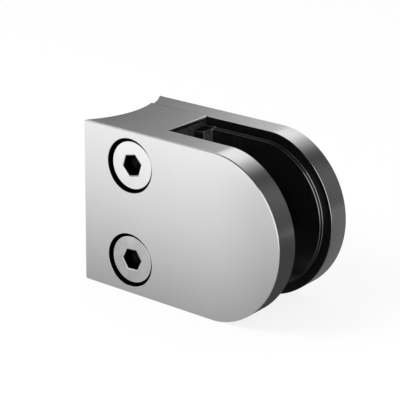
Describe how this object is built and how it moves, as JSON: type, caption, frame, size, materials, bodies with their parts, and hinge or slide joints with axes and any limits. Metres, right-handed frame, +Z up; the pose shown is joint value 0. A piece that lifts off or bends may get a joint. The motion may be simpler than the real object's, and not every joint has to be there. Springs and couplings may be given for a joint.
{
  "type": "glass panel clamp",
  "caption": "D-shaped steel clamp that bolts to a round post and grips a glass pane between rubber gaskets, closed by hex-socket screws.",
  "frame": {"origin": "middle of the underside of the bounding box, on the surface that the clamp stands on", "axes": "+X from the post towards the nose, +Y across the clamp from the screw heads towards the rear cover, +Z up"},
  "size_m": [0.063, 0.03, 0.045],
  "materials": {
    "polished_steel": "mirror polished cheeks, fine satin edges",
    "screw_steel": "turned and polished",
    "black_rubber": "matte with slightly shiny moulded edges"
  },
  "bodies": {
    "body": {"main_body": "polished_steel", "front_gasket": "black_rubber"},
    "cover": {"rear_cover": "polished_steel", "rear_gasket": "black_rubber"},
    "top_screw": {"upper_screw": "screw_steel"},
    "bottom_screw": {"lower_screw": "screw_steel"}
  },
  "joints": [
    {"name": "upper_screw_turn", "type": "hinge", "parent": "body", "child": "top_screw", "pos_m": [-0.0158, 0, 0.0356], "axis": [0, -1, 0], "range_deg": [0, 1152]},
    {"name": "lower_screw_turn", "type": "hinge", "parent": "body", "child": "bottom_screw", "pos_m": [-0.0158, 0, 0.0094], "axis": [0, -1, 0], "range_deg": [0, 1152]},
    {"name": "cover_travel", "type": "slide", "parent": "body", "child": "cover", "axis": [0, 1, 0], "range_m": [0, 0.004]}
  ],
  "couplings": [
    {"joint": "upper_screw_turn", "follows": "cover_travel", "rad_per_m": 5026.5},
    {"joint": "lower_screw_turn", "follows": "cover_travel", "rad_per_m": 5026.5}
  ]
}
